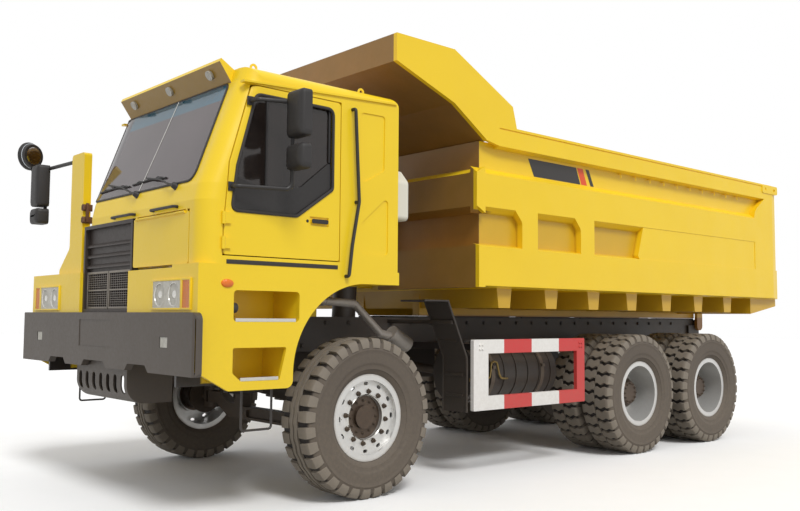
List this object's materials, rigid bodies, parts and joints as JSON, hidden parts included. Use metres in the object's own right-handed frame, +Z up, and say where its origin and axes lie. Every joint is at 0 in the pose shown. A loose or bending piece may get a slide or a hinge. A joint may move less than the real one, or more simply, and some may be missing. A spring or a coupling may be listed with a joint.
{
  "type": "mining dump truck",
  "caption": "Heavy off-road dump truck with steered front wheels, twin rear wheels, opening doors and a rear-tipping body raised by a telescopic hoist.",
  "frame": {"origin": "on the ground at the middle of the truck's length and width", "axes": "+X forward, +Y to the truck's left, +Z up"},
  "size_m": [8.8399, 4.0299, 3.885],
  "materials": {
    "yellow_paint": "slightly dusty gloss paint",
    "black_paint": "satin black paint",
    "grey_paint": "satin dark grey paint",
    "silver_paint": "silver wheel paint",
    "cast": "rough casting",
    "rubber": "worn tyre rubber",
    "glass": "tinted glass",
    "lens": "clear lamp lens",
    "seat_cloth": "dark seat cloth",
    "dark_plastic": "grained dark plastic",
    "white_plastic": "milky plastic",
    "signal_paint": "red and white paint",
    "hoist_steel": "ground steel"
  },
  "bodies": {
    "chassis": {"frame_rails": "black_paint", "frame_brackets": "black_paint", "front_bumper": "grey_paint", "skid_guard": "grey_paint", "grille": "black_paint", "engine_block": "cast", "exhaust": "black_paint", "cab_floor": "yellow_paint", "cab_roof": "yellow_paint", "cab_front": "yellow_paint", "cab_rear": "yellow_paint", "cab_quarters": "yellow_paint", "cab_glass": "glass", "wipers": "black_paint", "sun_visor": "yellow_paint", "grab_rails": "black_paint", "dashboard": "dark_plastic", "seats": "seat_cloth", "side_step_left": "yellow_paint", "deck_right": "yellow_paint", "headlamps": "lens", "mirror_mast": "yellow_paint", "expansion_tank": "white_plastic", "fuel_tank": "black_paint", "oil_tank": "black_paint", "side_guards": "signal_paint", "mudguards": "black_paint", "front_axle": "cast", "leaf_springs": "black_paint", "rear_axles": "cast", "propeller_shaft": "cast"},
    "steer_left": {"knuckle_left": "cast"},
    "steer_right": {"knuckle_right": "cast"},
    "tie": {"tie_rod": "cast"},
    "wheel_front_left": {"rim_front_left": "silver_paint", "tyre_front_left": "rubber"},
    "wheel_front_right": {"rim_front_right": "silver_paint", "tyre_front_right": "rubber"},
    "wheels_middle_left": {"rims_middle_left": "silver_paint", "tyres_middle_left": "rubber"},
    "wheels_middle_right": {"rims_middle_right": "silver_paint", "tyres_middle_right": "rubber"},
    "wheels_rear_left": {"rims_rear_left": "silver_paint", "tyres_rear_left": "rubber"},
    "wheels_rear_right": {"rims_rear_right": "silver_paint", "tyres_rear_right": "rubber"},
    "barrel": {"hoist_barrel": "black_paint"},
    "stage_1": {"hoist_stage_1": "hoist_steel"},
    "stage_2": {"hoist_stage_2": "hoist_steel"},
    "stage_3": {"hoist_stage_3": "hoist_steel"},
    "stage_4": {"hoist_stage_4": "hoist_steel"},
    "tipper": {"dump_body": "yellow_paint", "canopy": "yellow_paint"},
    "door_l": {"door_left": "yellow_paint", "door_glass_left": "glass"},
    "door_r": {"door_right": "yellow_paint", "door_glass_right": "glass"},
    "flap": {"front_flap": "yellow_paint"}
  },
  "joints": [
    {"name": "steer_left", "type": "hinge", "parent": "chassis", "child": "steer_left", "pos_m": [2.69, 1.02, 0.655], "axis": [0, 0, 1], "range_deg": [-35, 35]},
    {"name": "steer_right", "type": "hinge", "parent": "chassis", "child": "steer_right", "pos_m": [2.69, -1.02, 0.655], "axis": [0, 0, 1], "range_deg": [-35, 35]},
    {"name": "tie_rod_swing", "type": "hinge", "parent": "steer_left", "child": "tie", "pos_m": [2.47, 1.02, 0.545], "axis": [0, 0, 1], "range_deg": [-35, 35]},
    {"name": "roll_front_left", "type": "hinge", "parent": "steer_left", "child": "wheel_front_left", "pos_m": [2.69, 1.358, 0.655], "axis": [0, 1, 0], "continuous": true},
    {"name": "roll_front_right", "type": "hinge", "parent": "steer_right", "child": "wheel_front_right", "pos_m": [2.69, -1.358, 0.655], "axis": [0, 1, 0], "continuous": true},
    {"name": "roll_middle_left", "type": "hinge", "parent": "chassis", "child": "wheels_middle_left", "pos_m": [-1.21, 1.162, 0.655], "axis": [0, 1, 0], "continuous": true},
    {"name": "roll_middle_right", "type": "hinge", "parent": "chassis", "child": "wheels_middle_right", "pos_m": [-1.21, -1.162, 0.655], "axis": [0, 1, 0], "continuous": true},
    {"name": "roll_rear_left", "type": "hinge", "parent": "chassis", "child": "wheels_rear_left", "pos_m": [-2.71, 1.162, 0.655], "axis": [0, 1, 0], "continuous": true},
    {"name": "roll_rear_right", "type": "hinge", "parent": "chassis", "child": "wheels_rear_right", "pos_m": [-2.71, -1.162, 0.655], "axis": [0, 1, 0], "continuous": true},
    {"name": "tip", "type": "hinge", "parent": "chassis", "child": "tipper", "pos_m": [-4.18, 0, 1.4], "axis": [0, -1, 0], "range_deg": [0, 45]},
    {"name": "hoist_lean", "type": "hinge", "parent": "chassis", "child": "barrel", "pos_m": [1.8, 0, 1.36], "axis": [0, -1, 0], "range_deg": [0, 25.29]},
    {"name": "hoist_extend_1", "type": "slide", "parent": "barrel", "child": "stage_1", "axis": [-0.0562, 0, 0.9984], "range_m": [0, 1.12]},
    {"name": "hoist_extend_2", "type": "slide", "parent": "stage_1", "child": "stage_2", "axis": [-0.0562, 0, 0.9984], "range_m": [0, 1.12]},
    {"name": "hoist_extend_3", "type": "slide", "parent": "stage_2", "child": "stage_3", "axis": [-0.0562, 0, 0.9984], "range_m": [0, 1.12]},
    {"name": "hoist_extend_4", "type": "slide", "parent": "stage_3", "child": "stage_4", "axis": [-0.0562, 0, 0.9984], "range_m": [0, 1.12]},
    {"name": "door_left_swing", "type": "hinge", "parent": "chassis", "child": "door_l", "pos_m": [4.155, 1.634, 2.09], "axis": [0, 0, -1], "range_deg": [0, 70]},
    {"name": "door_right_swing", "type": "hinge", "parent": "chassis", "child": "door_r", "pos_m": [4.155, -0.464, 2.09], "axis": [0, 0, 1], "range_deg": [0, 70]},
    {"name": "flap_lift", "type": "hinge", "parent": "chassis", "child": "flap", "pos_m": [4.318, 0.96, 2.232], "axis": [0, -1, 0], "range_deg": [0, 75]}
  ],
  "couplings": [
    {"joint": "steer_right", "follows": "steer_left", "ratio": 1},
    {"joint": "tie_rod_swing", "follows": "steer_left", "ratio": -1},
    {"joint": "hoist_lean", "follows": "tip", "ratio": 0.55544},
    {"joint": "hoist_extend_1", "follows": "tip", "m_per_rad": 1.4213},
    {"joint": "hoist_extend_2", "follows": "tip", "m_per_rad": 1.4213},
    {"joint": "hoist_extend_3", "follows": "tip", "m_per_rad": 1.4213},
    {"joint": "hoist_extend_4", "follows": "tip", "m_per_rad": 1.4213}
  ]
}
